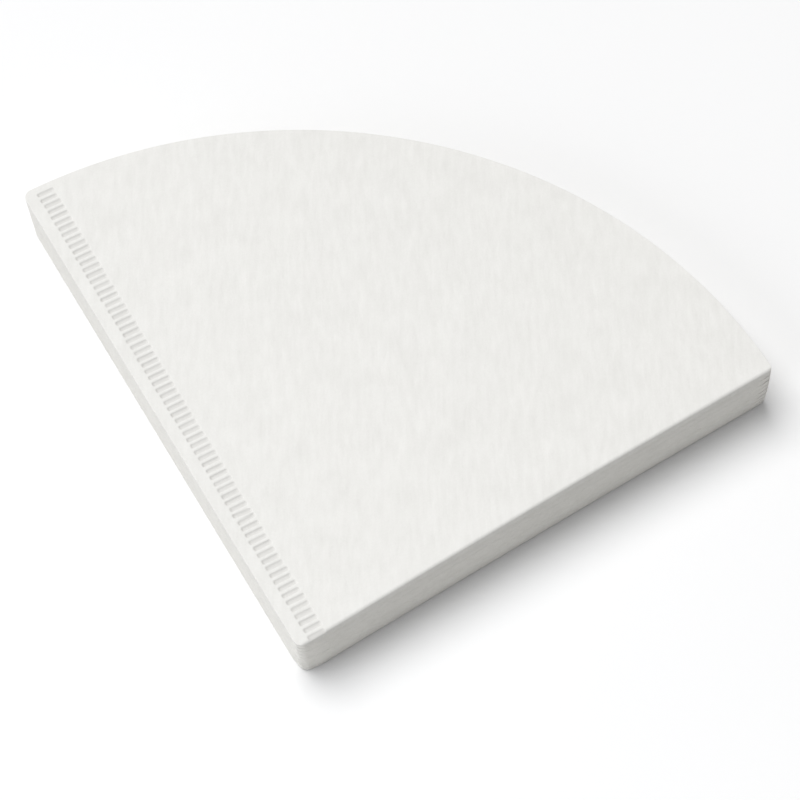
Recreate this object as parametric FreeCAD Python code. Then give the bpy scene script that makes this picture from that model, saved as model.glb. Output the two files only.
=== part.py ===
import FreeCAD, Part

import math
import os

# A stack of flat-folded cone filters of creped paper.
# Each filter is one sheet: two plies, joined by a fold along one straight edge and by a row of
# pressed crimps along the other, and open along the curved rim.
# The outline is drawn with the cone's tip at the start and the folded edge along +X.

# Outline of one flat filter, in millimetres and degrees
seam_length = 118.0
fold_length = 110.4
rim_radius = 106.6
tip_angle = 86.3
tip_round = 1.6
seam_corner_round = 2.0
fold_corner_round = 1.2

# Paper: the thickness of one creped ply, and the air between the two plies
ply = 0.75
ply_gap = 0.2
edge_bevel = 0.1

# The top filter's fold has nothing pressing on it, so its upper side is rounder
top_fold_round = 0.6

# Crimps: short cross grooves pressed into the seam, side by side from the rim to the tip
crimp_pitch = 1.62
crimp_width = 0.86
crimp_length = 3.9
crimp_depth = 0.5
crimp_margin = 2.44
crimp_to_rim = 1.7
crimp_to_tip = 1.1
bond_beyond_crimps = 0.5

# Stack: how many filters, and how far each lies out of line with the others
filter_count = 8
stray = 0.14
stray_turn = 0.06
golden_angle = 137.5

filter_height = 2 * ply + ply_gap
up = FreeCAD.Vector(0, 0, 1)
seam_way = FreeCAD.Vector(math.cos(math.radians(tip_angle)), math.sin(math.radians(tip_angle)), 0)
inward = FreeCAD.Vector(seam_way.y, -seam_way.x, 0)
tip = FreeCAD.Vector(0, 0, 0)
fold_end = FreeCAD.Vector(fold_length, 0, 0)
seam_end = seam_way * seam_length


def rim_middle():
    """The point half-way along the rim: the rim's arc has the given radius and joins both ends."""
    chord = seam_end - fold_end
    outward = FreeCAD.Vector(chord.y, -chord.x, 0).normalize()
    half = chord.Length / 2
    sagitta = rim_radius - math.sqrt(rim_radius ** 2 - half ** 2)
    return (seam_end + fold_end) * 0.5 + outward * sagitta


def upright_edge(solid, corner):
    """The vertical edge that stands on a corner of the outline."""
    return min(
        (edge for edge in solid.Edges if abs(edge.tangentAt(edge.FirstParameter).z) > 0.99),
        key=lambda edge: math.hypot(edge.CenterOfMass.x - corner.x, edge.CenterOfMass.y - corner.y),
    )


def level_outline(far_side, corners):
    """A plate as thick as the filter: the tip, the two straight sides and a far side of any shape."""
    fold_far, seam_far = far_side.Vertexes[0].Point, far_side.Vertexes[-1].Point
    outline = Part.Wire([Part.makeLine(tip, fold_far), *far_side.Edges, Part.makeLine(seam_far, tip)])
    solid = Part.Face(outline).extrude(up * filter_height)
    for corner, radius in corners:
        solid = solid.makeFillet(radius, [upright_edge(solid, corner)])
    return solid


def blank():
    """The flat filter's outside: the rim is cut square, and the fold, tip and seam edge are softer."""
    rim = Part.Wire(Part.Arc(fold_end, rim_middle(), seam_end).toShape())
    plate = level_outline(rim, ((tip, tip_round), (seam_end, seam_corner_round), (fold_end, fold_corner_round)))
    overrun = 2 * max(seam_length, fold_length)
    chord = Part.makePolygon([FreeCAD.Vector(overrun, 0, 0), seam_way * overrun])
    wedge = level_outline(chord, ((tip, tip_round),))
    bends = [
        edge
        for edge in wedge.Edges
        if edge.Curve.TypeId == "Part::GeomCircle" and edge.BoundBox.ZLength < 0.01
    ]
    # the bevel starts at the tip's arcs and runs on along both straight sides, above and below
    return wedge.makeChamfer(edge_bevel, bends).common(plate)


def pocket():
    """The air between the plies: it starts inside the fold and the seam and runs out of the rim."""
    seam_strip = crimp_margin + crimp_length + bond_beyond_crimps
    reach = 2 * max(seam_length, fold_length)
    # the inner corner, where the line inside the fold meets the line inside the seam
    along = (ply - inward.y * seam_strip) / seam_way.y
    corner = inward * seam_strip + seam_way * along
    outline = Part.makePolygon([
        corner,
        corner + FreeCAD.Vector(reach, 0, 0),
        corner + FreeCAD.Vector(reach, reach, 0),
        corner + seam_way * reach,
        corner,
    ])
    air = Part.Face(outline).extrude(up * ply_gap)
    air.translate(up * ply)
    return air


def crimps():
    """The grooves, square to the seam: each is a V that is open at the top and closed at both ends."""
    count = int((seam_length - crimp_to_rim - crimp_to_tip) / crimp_pitch) + 1
    grooves = []
    for index in range(count):
        place = seam_way * (seam_length - crimp_to_rim - index * crimp_pitch) + up * filter_height
        bottom = place + inward * crimp_margin - up * crimp_depth
        # the V is drawn to twice its depth, so that it reaches well above the paper
        side = seam_way * crimp_width + up * (2 * crimp_depth)
        other_side = seam_way * -crimp_width + up * (2 * crimp_depth)
        section = Part.makePolygon([bottom, bottom + side, bottom + other_side, bottom])
        grooves.append(Part.Face(section).extrude(inward * crimp_length))
    return Part.makeCompound(grooves)


def one_filter():
    return blank().cut(pocket()).cut(crimps())


def relaxed(pattern):
    """The filter with the upper side of its fold rounded further, all the way along."""
    overhang = 2 * tip_round
    run = fold_length + 2 * overhang
    centre = FreeCAD.Vector(-overhang, top_fold_round, filter_height - top_fold_round)
    corner = centre - FreeCAD.Vector(0, 2 * top_fold_round, 0)
    block = Part.makeBox(run, 2 * top_fold_round, 2 * top_fold_round, corner)
    roll = Part.makeCylinder(top_fold_round, run, centre, FreeCAD.Vector(1, 0, 0))
    return pattern.cut(block.cut(roll))


def stacked(pattern):
    """Copies of the filter one on another, each a little out of line and the top one in line."""
    filters = []
    for index in range(filter_count):
        below_top = filter_count - 1 - index
        bearing = math.radians(golden_angle * below_top)
        offset = stray if below_top else 0.0
        turn = stray_turn * math.sin(2 * bearing)
        piece = pattern.copy() if below_top else relaxed(pattern)
        piece.rotate(tip, up, turn)
        piece.translate(FreeCAD.Vector(offset * math.cos(bearing), offset * math.sin(bearing), 0))
        piece.translate(up * (index * filter_height))
        filters.append(piece)
    return filters


filters = stacked(one_filter())

# The origin is the middle of the stack's footprint, on the surface that it lies on
footprint = Part.makeCompound(filters).optimalBoundingBox(False, False)
to_origin = FreeCAD.Vector(-footprint.Center.x, -footprint.Center.y, -footprint.ZMin)

os.makedirs("parts", exist_ok=True)
for number, piece in enumerate(filters, start=1):
    piece.translate(to_origin)
    piece.exportStep(f"parts/filter_{number}.step")
    print(f"filter_{number}", piece.ShapeType, len(piece.Solids), piece.isValid(), round(piece.Volume, 1))
print("size", round(footprint.XLength, 2), round(footprint.YLength, 2), round(footprint.ZLength, 2))
print("origin from the tip", [round(v, 3) for v in (-to_origin.x, -to_origin.y, -to_origin.z)])
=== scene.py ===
import math
import random

import bmesh
import bpy
from mathutils import Matrix, Vector


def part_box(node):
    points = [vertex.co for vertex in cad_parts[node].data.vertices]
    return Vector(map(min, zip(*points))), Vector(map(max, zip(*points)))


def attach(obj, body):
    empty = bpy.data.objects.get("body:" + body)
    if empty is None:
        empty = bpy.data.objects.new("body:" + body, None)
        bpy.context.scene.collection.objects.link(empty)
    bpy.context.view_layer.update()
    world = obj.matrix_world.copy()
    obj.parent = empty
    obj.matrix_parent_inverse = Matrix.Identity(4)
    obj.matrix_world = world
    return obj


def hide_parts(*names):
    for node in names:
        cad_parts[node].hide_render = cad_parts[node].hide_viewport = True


# A pressed stack of flat-folded cone filters of white creped paper, on a white table.
# The paper's lengths are in millimetres, from the cone's tip and with the fold along +X, until
# each filter is moved to its place in the frame.

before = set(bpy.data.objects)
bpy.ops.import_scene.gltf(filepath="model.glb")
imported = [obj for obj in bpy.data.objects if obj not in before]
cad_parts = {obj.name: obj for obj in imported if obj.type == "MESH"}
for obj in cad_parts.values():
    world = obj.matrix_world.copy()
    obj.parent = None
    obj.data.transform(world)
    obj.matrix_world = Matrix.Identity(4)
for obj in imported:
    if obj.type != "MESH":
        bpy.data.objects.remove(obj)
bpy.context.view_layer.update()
filters = sorted(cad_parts)
top_index = len(filters) - 1
MM = 0.001
# a shorter distance than this counts as none
tiny = 0.001

# The paper's look: its tones, painted crimp shade and how soon it is darkest, gloss and roughness
light_paper = (0.91, 0.902, 0.873)
dark_paper = (0.79, 0.781, 0.75)
# the crimps' grooves are painted in this darker tone, as painted shade in their hollows
crimp_shade_paper = (0.737, 0.728, 0.7)
crimp_shade_gain = 2.5
gloss = 0.3
least_roughness = 0.86
grain_roughness = 0.08

# The paper's patterns: clouds, fibre streaks along the sheet's machine direction, and a fine grain
cloud_scale = 150.0
cloud_detail = 2.0
cloud_tone = 0.5
streak_scale = 900.0
streak_detail = 2.0
streak_roughness = 0.6
streak_bearing = 58.0
streak_stretch = 4.5
streak_tone = 0.9
streak_height = 0.6
grain_scale = 2600.0
grain_detail = 1.0
grain_tone = 0.4
grain_height = 0.3
tone_shift = 0.4
crepe_strength = 0.5
crepe_height = 0.0001

# The flat filter's outline
seam_length = 118.0
fold_length = 110.4
rim_radius = 106.6
tip_angle = 86.3
tip_round = 1.6
seam_corner_round = 2.0
fold_corner_round = 1.2

# How finely the outline is divided, and the lengths that tell a straight side, a part of one and a
# part of a rounded corner from each other
corner_cuts = 9
rim_steps = 360
side_cuts = 31
near_corner_cuts = 4
straight_side = 10.0
side_part = 3.0
corner_part = 1.0

# Paper: the thickness of one ply, the air between the plies, and the rounding of the pressed edges
ply = 0.75
ply_gap = 0.2
filter_height = 2 * ply + ply_gap
pressed_edge = 0.045

# The top filter's fold is rounder above, and the lowest filter's fold lifts off the table
top_fold_round = 0.7
low_fold_lift = 0.3
lift_reach = 2.5
# how far in a fold's edge is cut along, as shares of its rounding
ease_shares = (0.06, 0.15, 0.28, 0.45, 0.68, 1.0)

# Crimps, from the rim to the tip
crimp_pitch = 1.62
crimp_margin = 2.4
crimp_length = 4.1
crimp_width = 1.28
crimp_depth = 0.19
crimp_lip = 0.48
crimp_corner = 0.5
crimp_to_rim = 2.05
crimp_to_tip = 0.75
crimp_count = int((seam_length - crimp_to_rim - crimp_to_tip) / crimp_pitch) + 1

# How much the crimps differ from each other, and the two that lean together
shift_spread = 0.05
slant_spread = 0.012
slide_spread = 0.08
width_spread = (0.93, 1.05)
length_spread = (0.96, 1.02)
depth_spread = (0.8, 1.15)
leaning_crimp = 53
leaning_slant = 0.1

# The plies are bonded from the seam's edge to a little beyond the crimps
bond_beyond_crimps = 0.5
seam_strip = crimp_margin + crimp_length + bond_beyond_crimps

# The crimped band, and where it is cut: across the grooves at shares of their lips and next to
# their middles, and along them at distances from their ends
band_spare = 0.4
band_start = crimp_margin - band_spare
band_end = crimp_margin + crimp_length + band_spare
lip_shares = (0.0, 0.25, 0.5, 0.75)
groove_floor = 0.1
end_distances = (-0.12, 0.0, 0.08, 0.17, 0.26, 0.36, 0.5, 0.8)

# Stack: each filter lies a little out of line with the top one
stray = 0.012
stray_turn = 0.003
golden_angle = 137.5
# the lowest filter's crimps are drawn with this seed, and each next one's with the next seed
first_seed = 40

# The fold side stands out at its ends and bows back in at its middle, more at the top than at the
# table, and bulges between them
top_flare = 0.64
low_flare = 0.1
top_bow = 0.4
low_bow = 0.27
bow_reach = 30.0
fold_bulge = 0.6
right_bulge = 0.5
bulge_height = 0.45
bulge_ends = 6.0

# The seam side leans in towards the table, and the lower layers' tips are pushed back
seam_lean = 0.74
lean_reach = 14.0
tip_setback = 0.6
tip_reach = 5.0

# Near three corners, the layers' edges curl in: only points this near a layer's upper or lower
# side move, and none so near the curl's middle that they have no clear way out from it
curl_layer = 0.2
curl_start = 0.3
curl_strength = 1.3

# Edges and shading: the bends, in radians, from which an outer edge is pressed round and an edge
# shows sharp, how upright a level face's normal is, and the area from which it is shaded flat
pressed_bend = 1.0
sharp_bend = 0.6
level_normal = 0.999
flat_area = 20.0

# Table, lights and camera, in metres and degrees, with bearings turned from +X towards +Y
table_white = (0.98, 0.98, 0.98)
table_bounce = (0.76, 0.75, 0.728)
table_lift = 0.01
table_half_width = 3.0
room_light = 0.24
lamp_strength = 2.25
lamp_spread = 46.0
lamp_height = 65.0
lamp_bearing = 108.0
panel_width = 0.6
panel_depth = 0.4
panel_bearing = 185.0
panel_height = 28.0
panel_distance = 0.6
panel_power = 1.1
panel_tint = (0.93, 0.955, 1.0)
camera_place = Vector((-0.1675, -0.27706, 0.5183))
camera_heading = 58.06
camera_dip = 59.5
camera_roll = -1.41
camera_lens = 134.55

tip = Vector((0.0, 0.0, 0.0))
up = Vector((0.0, 0.0, 1.0))
fold_way = Vector((1.0, 0.0, 0.0))
from_fold = Vector((0.0, 1.0, 0.0))
seam_way = Vector((math.cos(math.radians(tip_angle)), math.sin(math.radians(tip_angle)), 0.0))
inward = Vector((seam_way.y, -seam_way.x, 0.0))

# The corners that curl: the curl's middle, how far it reaches, and how far it goes back and up
curling_corners = (
    {
        "middle": Vector((tip_round * 0.5, tip_round * 1.5, 0.0)),
        "reach": 3.2,
        "back": 0.7,
        "rise": 0.17,
    },
    {
        "middle": Vector((fold_length - fold_corner_round, fold_corner_round, 0.0)),
        "reach": 3.0,
        "back": 0.5,
        "rise": 0.2,
    },
    {
        "middle": seam_way * (seam_length - seam_corner_round) + inward * seam_corner_round,
        "reach": 5.0,
        "back": 0.24,
        "rise": 0.2,
    },
)


# Shader maths

class Value:
    """A number that varies over a surface: the usual operators add Math nodes."""

    def __init__(self, nodes, socket):
        self.nodes = nodes
        self.socket = socket

    def _with(self, operation, first, second):
        node = self.nodes.add("ShaderNodeMath", {"operation": operation}, {0: first, 1: second})
        return Value(self.nodes, node.outputs[0])

    def __add__(self, other):
        return self._with("ADD", self, other)

    def __radd__(self, other):
        return self._with("ADD", other, self)

    def __sub__(self, other):
        return self._with("SUBTRACT", self, other)

    def __rsub__(self, other):
        return self._with("SUBTRACT", other, self)

    def __mul__(self, other):
        return self._with("MULTIPLY", self, other)

    def __rmul__(self, other):
        return self._with("MULTIPLY", other, self)


class Nodes:
    """The node tree of a material or a world, with one method that adds a node of any type."""

    def __init__(self, owner):
        owner.use_nodes = True
        self.tree = owner.node_tree
        self.tree.nodes.clear()

    def add(self, kind, settings=None, inputs=None):
        """Adds a node, gives it its settings, and links or sets its inputs."""
        node = self.tree.nodes.new(kind)
        for name, setting in (settings or {}).items():
            setattr(node, name, setting)
        for name, value in (inputs or {}).items():
            if isinstance(value, Value):
                self.tree.links.new(value.socket, node.inputs[name])
            elif isinstance(value, bpy.types.NodeSocket):
                self.tree.links.new(value, node.inputs[name])
            else:
                node.inputs[name].default_value = value
        return node

    def value(self, kind, inputs, output=0):
        """A node's output as a number that operators work on."""
        return Value(self, self.add(kind, inputs=inputs).outputs[output])

    def mixed_colour(self, share, first, second):
        """A colour that goes from the first to the second."""
        mix = self.add("ShaderNodeMix", {"data_type": "RGBA"}, {0: share, 6: first, 7: second})
        return mix.outputs[2]


# Materials

def creped_paper():
    """White filter paper: cloudy formation, short fibre streaks, a fine crepe and shade painted
    into the crimps, all matt.
    """
    material = bpy.data.materials.new("creped_paper")
    nodes = Nodes(material)
    place = nodes.add("ShaderNodeTexCoord").outputs["Object"]
    along = nodes.add(
        "ShaderNodeMapping",
        {"vector_type": "TEXTURE"},
        {
            "Vector": place,
            "Rotation": (0.0, 0.0, math.radians(streak_bearing)),
            "Scale": (streak_stretch, 1.0, 1.0),
        },
    ).outputs[0]
    clouds = nodes.value(
        "ShaderNodeTexNoise", {"Vector": place, "Scale": cloud_scale, "Detail": cloud_detail}
    )
    streaks = nodes.value(
        "ShaderNodeTexNoise",
        {
            "Vector": along,
            "Scale": streak_scale,
            "Detail": streak_detail,
            "Roughness": streak_roughness,
        },
    )
    grain = nodes.value(
        "ShaderNodeTexNoise", {"Vector": place, "Scale": grain_scale, "Detail": grain_detail}
    )
    # how deep each crimp is pressed: there the paper turns to a darker tone, as painted shade
    pressed = nodes.add("ShaderNodeAttribute", {"attribute_name": "pressed"}).outputs["Fac"]
    tone = clouds * cloud_tone + streaks * streak_tone + grain * grain_tone - tone_shift
    colour = nodes.mixed_colour(
        pressed,
        nodes.mixed_colour(tone, (*dark_paper, 1.0), (*light_paper, 1.0)),
        (*crimp_shade_paper, 1.0),
    )
    height = streaks * streak_height + grain * grain_height + clouds
    relief = nodes.add(
        "ShaderNodeBump",
        inputs={"Height": height, "Strength": crepe_strength, "Distance": crepe_height},
    )
    surface = nodes.add(
        "ShaderNodeBsdfPrincipled",
        inputs={
            "Base Color": colour,
            "Roughness": least_roughness + grain * grain_roughness,
            "Specular IOR Level": gloss,
            "Normal": relief.outputs[0],
        },
    )
    nodes.add("ShaderNodeOutputMaterial", inputs={"Surface": surface.outputs[0]})
    return material


# The filter's outline

def bearing_of(way):
    return math.degrees(math.atan2(way.y, way.x))


def towards(bearing):
    return Vector((math.cos(math.radians(bearing)), math.sin(math.radians(bearing)), 0.0))


def rim_centre():
    """The middle of the circle that the rim is part of: it passes through both ends."""
    fold_end = fold_way * fold_length
    seam_end = seam_way * seam_length
    chord = seam_end - fold_end
    outward = Vector((chord.y, -chord.x, 0.0)).normalized()
    back = math.sqrt(rim_radius ** 2 - (chord.length / 2) ** 2)
    return (seam_end + fold_end) / 2 - outward * back


def with_edges(faces):
    """Faces with all of their edges and corners, in the same order each run."""
    parts = dict.fromkeys(faces)
    for face in faces:
        parts.update(dict.fromkeys(face.edges))
        parts.update(dict.fromkeys(face.verts))
    return list(parts)


def cut(shape, faces, place, way, clear=False):
    """Cuts faces along an upright plane, and with clear takes away what lies beyond it."""
    bmesh.ops.bisect_plane(
        shape,
        geom=with_edges(faces),
        dist=tiny,
        plane_co=place,
        plane_no=way,
        clear_outer=clear,
    )


def round_corner(shape, centre, radius, first_bearing, last_bearing):
    """Files a corner round with a row of small straight cuts."""
    for step in range(corner_cuts):
        share = (step + 0.5) / corner_cuts
        way = towards(first_bearing + share * (last_bearing - first_bearing))
        cut(shape, list(shape.faces), centre + way * radius, way, clear=True)


def divide_sides(shape):
    """Gives the straight sides points enough to bend, and more of them next to the corners."""
    for side in [edge for edge in shape.edges if edge.calc_length() > straight_side]:
        bmesh.ops.subdivide_edges(shape, edges=[side], cuts=side_cuts)
    # they are all picked before the first is divided, because what it is divided into is short too
    near_corners = [
        part
        for part in shape.edges
        if part.calc_length() > side_part
        and any(edge.calc_length() < corner_part for vert in part.verts for edge in vert.link_edges)
    ]
    for part in near_corners:
        bmesh.ops.subdivide_edges(shape, edges=[part], cuts=near_corner_cuts)


def outline():
    """The flat filter's outline as one level face."""
    shape = bmesh.new()
    middle = rim_centre()
    bmesh.ops.create_circle(
        shape,
        cap_ends=True,
        segments=rim_steps,
        radius=rim_radius,
        matrix=Matrix.Translation(middle),
    )
    cut(shape, list(shape.faces), tip, -from_fold, clear=True)
    cut(shape, list(shape.faces), tip, -inward, clear=True)
    seam_bearing = bearing_of(-inward)
    along = (tip_round - inward.y * tip_round) / seam_way.y
    centre = inward * tip_round + seam_way * along
    round_corner(shape, centre, tip_round, 270.0, seam_bearing)
    # the rounding's centre lies its own radius inside the rim and inside the straight side
    side = middle.y - fold_corner_round
    reach = math.sqrt((rim_radius - fold_corner_round) ** 2 - side ** 2)
    centre = Vector((middle.x + reach, fold_corner_round, 0.0))
    round_corner(shape, centre, fold_corner_round, -90.0, bearing_of(centre - middle))
    side = middle.dot(inward) - seam_corner_round
    reach = math.sqrt((rim_radius - seam_corner_round) ** 2 - side ** 2)
    centre = inward * seam_corner_round + seam_way * (middle.dot(seam_way) + reach)
    round_corner(shape, centre, seam_corner_round, bearing_of(centre - middle), seam_bearing)
    divide_sides(shape)
    return shape


# The folded filter, still flat and even

def from_seam(face):
    """How far inside the seam a face's middle lies."""
    return face.calc_center_median().dot(inward)


def joined(face):
    """Tells whether a face is where the two plies are joined."""
    return from_seam(face) < seam_strip or face.calc_center_median().y < ply


def in_band(face):
    """Tells whether a face is on the upper side and in the crimped band."""
    level = abs(abs(face.normal.z) - 1.0) < tiny
    on_top = abs(face.calc_center_median().z - filter_height) < tiny
    return level and on_top and band_start < from_seam(face) < band_end


def extrude(shape, faces, rise):
    """Extrudes faces upward as one region, and returns the faces at its far end."""
    made = bmesh.ops.extrude_face_region(shape, geom=with_edges(faces))["geom"]
    moved = [part for part in made if isinstance(part, bmesh.types.BMVert)]
    bmesh.ops.translate(shape, verts=moved, vec=up * rise)
    return [part for part in made if isinstance(part, bmesh.types.BMFace)]


def folded_sheet():
    """Two plies over each other with air between them, joined along the fold and the seam."""
    shape = outline()
    cut(shape, list(shape.faces), inward * seam_strip, inward)
    # the rest is cut across at every point of the fold's edge, so that it can bend with the fold
    for place in [vert.co.copy() for vert in shape.verts if vert.co.y < tiny]:
        cut(shape, [face for face in shape.faces if from_seam(face) > seam_strip], place, fold_way)
    rest = [face for face in shape.faces if from_seam(face) > seam_strip]
    cut(shape, rest, from_fold * ply, from_fold)
    for distance in (band_start, band_end):
        bonded = [face for face in shape.faces if from_seam(face) < seam_strip]
        cut(shape, bonded, inward * distance, inward)

    lower = list(shape.faces)
    parts = [*shape.verts, *shape.edges, *shape.faces]
    copy = bmesh.ops.duplicate(shape, geom=parts)["geom"]
    upper = [part for part in copy if isinstance(part, bmesh.types.BMFace)]
    upper_points = [part for part in copy if isinstance(part, bmesh.types.BMVert)]
    lower_top = extrude(shape, lower, ply)
    bond = extrude(shape, [face for face in lower_top if joined(face)], ply_gap)
    bmesh.ops.translate(shape, verts=upper_points, vec=up * (ply + ply_gap))
    covered = [face for face in upper if joined(face)]
    extrude(shape, upper, ply)
    bmesh.ops.delete(shape, geom=[*covered, *bond], context="FACES")
    bmesh.ops.remove_doubles(shape, verts=list(shape.verts), dist=tiny)
    bmesh.ops.recalc_face_normals(shape, faces=list(shape.faces))
    return shape


def press_edges(shape):
    """Rounds the outer edges a little, as pressing leaves them."""
    outer_edges = []
    for edge in shape.edges:
        heights = [vert.co.z for vert in edge.verts]
        outer = max(heights) < tiny or min(heights) > filter_height - tiny
        if outer and edge.calc_face_angle() > pressed_bend:
            outer_edges.append(edge)
    bmesh.ops.bevel(
        shape,
        geom=outer_edges,
        offset=pressed_edge,
        affect="EDGES",
        segments=1,
        profile=0.5,
        material=-1,
    )


def band_stations():
    """Where the band is cut across, from the rim to the tip: close together at a groove's lips."""
    half = crimp_width / 2
    steps = [half - crimp_lip * share for share in lip_shares] + [groove_floor]
    stations = []
    for index in range(crimp_count):
        middle = seam_length - crimp_to_rim - index * crimp_pitch
        stations.append(middle + crimp_pitch / 2)
        stations += [middle + step for step in steps]
        stations += [middle - step for step in reversed(steps)]
    return stations


def band_lines():
    """Where the band is cut along, from the seam inward: close together at the grooves' ends."""
    last = crimp_margin + crimp_length
    near = [crimp_margin + distance for distance in end_distances]
    far = [last - distance for distance in reversed(end_distances)]
    return near + far


def divide_band(shape):
    """Gives the crimped band of the upper side points enough to be pressed."""
    for distance in band_lines():
        cut(shape, [face for face in shape.faces if in_band(face)], inward * distance, inward)
    rest = [face for face in shape.faces if in_band(face)]
    for station in band_stations():
        cut(shape, rest, seam_way * station, seam_way)
        # what the cut has made lies next to what is left, and the rest is beyond the station
        left = [face for face in rest if face.is_valid]
        near = [other for face in left for edge in face.edges for other in edge.link_faces]
        rest = [
            face
            for face in dict.fromkeys(left + near)
            if in_band(face) and face.calc_center_median().dot(seam_way) < station
        ]


def ease_fold(shape, reach, side):
    """Gives the fold's edge points enough to be rounded: side is 1.0 above and -1.0 below."""
    for share in ease_shares:
        near = [
            face
            for face in shape.faces
            if face.normal.z * side > level_normal
            and min(vert.co.y for vert in face.verts) < reach * share
        ]
        cut(shape, near, from_fold * reach * share, from_fold)


# What pressing and stacking have done to the filter

def smooth_step(share):
    share = min(max(share, 0.0), 1.0)
    return share * share * (3.0 - 2.0 * share)


def crimps_of(chance, index):
    """Every crimp of one filter, each a little different."""
    crimps = []
    for _ in range(crimp_count):
        crimps.append({
            "shift": chance.uniform(-shift_spread, shift_spread),
            "slant": chance.uniform(-slant_spread, slant_spread),
            "slide": chance.uniform(-slide_spread, slide_spread),
            "width": crimp_width * chance.uniform(*width_spread),
            "length": crimp_length * chance.uniform(*length_spread),
            "depth": crimp_depth * chance.uniform(*depth_spread),
        })
    if index == top_index:
        crimps[leaning_crimp]["slant"] -= leaning_slant
        crimps[leaning_crimp + 1]["slant"] += leaning_slant
    return crimps


def crimp_press(crimps, along, across):
    """How deep the crimping wheel has pressed the paper, at a place along and across the seam."""
    nearest = round((seam_length - crimp_to_rim - along) / crimp_pitch)
    depth = 0.0
    for index in (nearest - 1, nearest, nearest + 1):
        if not 0 <= index < crimp_count:
            continue
        crimp = crimps[index]
        middle = seam_length - crimp_to_rim - index * crimp_pitch + crimp["shift"]
        away = along - middle - crimp["slant"] * (across - crimp_margin - crimp_length / 2)
        beyond = across - crimp_margin - crimp_length / 2 - crimp["slide"]
        # how far inside the groove's rounded outline the place is
        side = abs(away) - crimp["width"] / 2 + crimp_corner
        end = abs(beyond) - crimp["length"] / 2 + crimp_corner
        inside = crimp_corner - math.hypot(max(side, 0.0), max(end, 0.0)) - min(max(side, end), 0.0)
        depth = max(depth, crimp["depth"] * smooth_step(inside / crimp_lip))
    return depth


def rounded_off(distance, radius):
    """How far a rounded edge of that radius lies back, at a distance from the side."""
    inside = min(max(radius - distance, 0.0), radius)
    return radius - math.sqrt(radius ** 2 - inside ** 2)


def bulge_at(height_share, x):
    """How far the springy folds stand out between the pressed top and the table."""
    if height_share > bulge_height:
        fall = ((height_share - bulge_height) / (1.0 - bulge_height)) ** 3
    else:
        fall = ((bulge_height - height_share) / bulge_height) ** 2
    right = smooth_step((fold_length - x) / bulge_ends)
    ends = smooth_step(x / bulge_ends) * (right_bulge + (1.0 - right_bulge) * right)
    return fold_bulge * ends * (1.0 - fall)


def ease_point(vert, place, index):
    """Rounds the top filter's fold above, and lifts the lowest filter's fold off the table."""
    if index == top_index and place.z > ply:
        share = (place.z - ply) / (filter_height - ply)
        vert.co.z -= rounded_off(place.y, top_fold_round) * share
    if index == 0 and place.z < ply:
        lift = low_fold_lift * max(1.0 - place.y / lift_reach, 0.0) ** 2
        vert.co.z += lift * (1.0 - place.z / ply)


def bend_point(vert, place, height_share):
    """Bows and bulges the fold side, leans the seam side in, and pushes the lower tips back."""
    low_share = 1.0 - height_share
    arch = math.sin(math.pi * min(max(place.x / fold_length, 0.0), 1.0))
    bow = height_share * (top_bow * arch - top_flare) + low_share * (low_bow * arch - low_flare)
    bow -= bulge_at(height_share, place.x)
    vert.co.y += bow * max(1.0 - place.y / bow_reach, 0.0) ** 2
    lean = seam_lean * low_share * smooth_step(1.0 - place.dot(inward) / lean_reach)
    vert.co += inward * lean
    back = tip_setback * low_share * smooth_step(1.0 - place.xy.length / tip_reach)
    vert.co += (seam_way + fold_way).normalized() * back


def curl_point(vert, place):
    """Curls the edges of a layer in towards its upper and lower sides at the corners."""
    to_side = min(place.z, filter_height - place.z)
    for corner in curling_corners:
        away = Vector((place.x - corner["middle"].x, place.y - corner["middle"].y, 0.0))
        if to_side < curl_layer and curl_start < away.length < corner["reach"]:
            share = curl_strength * smooth_step(1.0 - away.length / corner["reach"])
            if to_side < tiny:
                vert.co -= away.normalized() * corner["back"] * share
            elif place.z < filter_height / 2:
                vert.co.z += corner["rise"] * share
            else:
                vert.co.z -= corner["rise"] * share


def settle(shape, chance, index):
    """Presses the crimps, and bends the filter as its place in the stack has left it."""
    crimps = crimps_of(chance, index)
    pressed = shape.verts.layers.float.new("pressed")
    for vert in shape.verts:
        place = vert.co.copy()
        if place.z > filter_height - tiny:
            depth = crimp_press(crimps, place.dot(seam_way), place.dot(inward))
            vert.co.z -= depth
            # the crimp's depth is kept for the material, which paints shade into the grooves with
            # it
            vert[pressed] = min(crimp_shade_gain * depth / crimp_depth, 1.0)
        ease_point(vert, place, index)
        bend_point(vert, place, (index + place.z / filter_height) / len(filters))
        # the upper half of the top filter has kept its corners flat
        if index < top_index or place.z <= filter_height / 2:
            curl_point(vert, place)


def lay_in_stack(shape, index, low):
    """Moves a filter to its place in the frame, given its flat outline's lowest x and y."""
    below_top = top_index - index
    bearing = math.radians(golden_angle * below_top)
    offset = stray if below_top else 0.0
    turn = Matrix.Rotation(math.radians(stray_turn * math.sin(2 * bearing)), 4, "Z")
    shift = Matrix.Translation(
        Vector((offset * math.cos(bearing), offset * math.sin(bearing), index * filter_height))
    )
    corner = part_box(filters[-1])[0] / MM - low
    corner.z = 0.0
    bmesh.ops.transform(
        shape,
        verts=list(shape.verts),
        matrix=Matrix.Scale(MM, 4) @ Matrix.Translation(corner) @ shift @ turn,
    )


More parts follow.
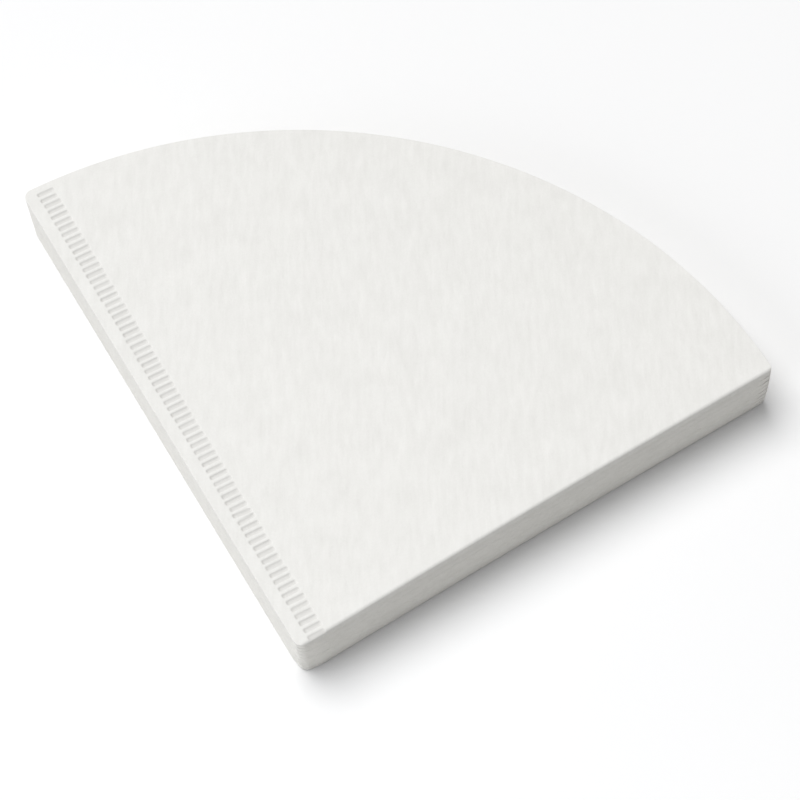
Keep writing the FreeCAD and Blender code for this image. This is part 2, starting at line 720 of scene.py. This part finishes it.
def make_filter(name, index, pattern, paper):
    """One finished filter, in its place in the stack."""
    shape = pattern.copy()
    if index == top_index:
        ease_fold(shape, top_fold_round, 1.0)
    if index == 0:
        ease_fold(shape, lift_reach, -1.0)
    low = Vector([min(vert.co[axis] for vert in shape.verts) for axis in range(3)])
    settle(shape, random.Random(first_seed + index), index)
    lay_in_stack(shape, index, low)
    for face in shape.faces:
        flat = abs(face.normal.z) > level_normal and face.calc_area() > flat_area * MM * MM
        face.smooth = not flat
    for edge in shape.edges:
        edge.smooth = edge.calc_face_angle() < sharp_bend
    mesh = bpy.data.meshes.new(name + "_paper")
    shape.to_mesh(mesh)
    shape.free()
    mesh.materials.append(paper)
    piece = bpy.data.objects.new(name + "_paper", mesh)
    bpy.context.scene.collection.objects.link(piece)
    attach(piece, "root")
    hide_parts(name)


def stack_of_filters():
    """All the filters, made from one pattern and each settled in its own way."""
    paper = creped_paper()
    pattern = folded_sheet()
    press_edges(pattern)
    divide_band(pattern)
    for index, name in enumerate(filters):
        make_filter(name, index, pattern, paper)
    pattern.free()


# Table, lights and camera

def table_top():
    """A white table: the camera sees it white, and it throws back less light than it shows."""
    material = bpy.data.materials.new("white_table")
    nodes = Nodes(material)
    path = nodes.add("ShaderNodeLightPath")
    lit = nodes.add("ShaderNodeBsdfDiffuse", inputs={"Color": (*table_white, 1.0)})
    lift = nodes.add("ShaderNodeEmission", inputs={"Strength": table_lift})
    seen = nodes.add("ShaderNodeAddShader", inputs={0: lit.outputs[0], 1: lift.outputs[0]})
    felt = nodes.add("ShaderNodeBsdfDiffuse", inputs={"Color": (*table_bounce, 1.0)})
    surface = nodes.add(
        "ShaderNodeMixShader",
        inputs={0: path.outputs["Is Camera Ray"], 1: felt.outputs[0], 2: seen.outputs[0]},
    )
    nodes.add("ShaderNodeOutputMaterial", inputs={"Surface": surface.outputs[0]})
    mesh = bpy.data.meshes.new("table_top")
    shape = bmesh.new()
    bmesh.ops.create_grid(shape, x_segments=1, y_segments=1, size=table_half_width)
    shape.to_mesh(mesh)
    shape.free()
    mesh.materials.append(material)
    table = bpy.data.objects.new("table_top", mesh)
    bpy.context.scene.collection.objects.link(table)


def studio_sky():
    """A pale room: dim to the object, white where the camera, a mirror or a glass sees it."""
    world = bpy.data.worlds.new("studio")
    bpy.context.scene.world = world
    nodes = Nodes(world)
    white = (1.0, 1.0, 1.0, 1.0)
    path = nodes.add("ShaderNodeLightPath")
    room = nodes.add("ShaderNodeBackground", inputs={"Color": white, "Strength": room_light})
    backdrop = nodes.add("ShaderNodeBackground", inputs={"Color": white, "Strength": 1.0})
    seen = path.outputs["Is Camera Ray"]
    for ray in ("Is Glossy Ray", "Is Transmission Ray"):
        greater = nodes.add(
            "ShaderNodeMath", {"operation": "MAXIMUM"}, {0: seen, 1: path.outputs[ray]}
        )
        seen = greater.outputs[0]
    mix = nodes.add(
        "ShaderNodeMixShader", inputs={0: seen, 1: room.outputs[0], 2: backdrop.outputs[0]}
    )
    nodes.add("ShaderNodeOutputWorld", inputs={"Surface": mix.outputs[0]})


def soft_lamps():
    """A broad lamp high behind the filters, and a pale panel beside the crimped seam."""
    lamp = bpy.data.lights.new("window_light", "SUN")
    lamp.energy = lamp_strength
    lamp.angle = math.radians(lamp_spread)
    holder = bpy.data.objects.new("window_light", lamp)
    tilt = math.radians(90.0 - lamp_height)
    holder.rotation_euler = (0.0, tilt, math.radians(lamp_bearing))
    bpy.context.scene.collection.objects.link(holder)
    panel = bpy.data.lights.new("side_panel", "AREA")
    panel.shape = "RECTANGLE"
    panel.size = panel_width
    panel.size_y = panel_depth
    panel.energy = panel_power
    panel.color = panel_tint
    stand = bpy.data.objects.new("side_panel", panel)
    way = towards(panel_bearing) * math.cos(math.radians(panel_height))
    way.z = math.sin(math.radians(panel_height))
    facing = way.to_track_quat("Z", "Y").to_matrix().to_4x4()
    stand.matrix_world = Matrix.Translation(way * panel_distance) @ facing
    bpy.context.scene.collection.objects.link(stand)


def camera():
    """The photograph's view: from beside the tip, looking down over the folded edge."""
    lens = bpy.data.cameras.new("camera")
    lens.sensor_width = 36.0
    lens.lens = camera_lens
    lens.clip_start = 0.01
    holder = bpy.data.objects.new("camera", lens)
    holder.matrix_world = (
        Matrix.Translation(camera_place)
        @ Matrix.Rotation(math.radians(camera_heading - 90.0), 4, "Z")
        @ Matrix.Rotation(math.radians(90.0 - camera_dip), 4, "X")
        @ Matrix.Rotation(math.radians(camera_roll), 4, "Z")
    )
    bpy.context.scene.collection.objects.link(holder)
    bpy.context.scene.camera = holder


stack_of_filters()
table_top()
studio_sky()
soft_lamps()
camera()

settings = bpy.context.scene.view_settings
settings.view_transform = "Standard"
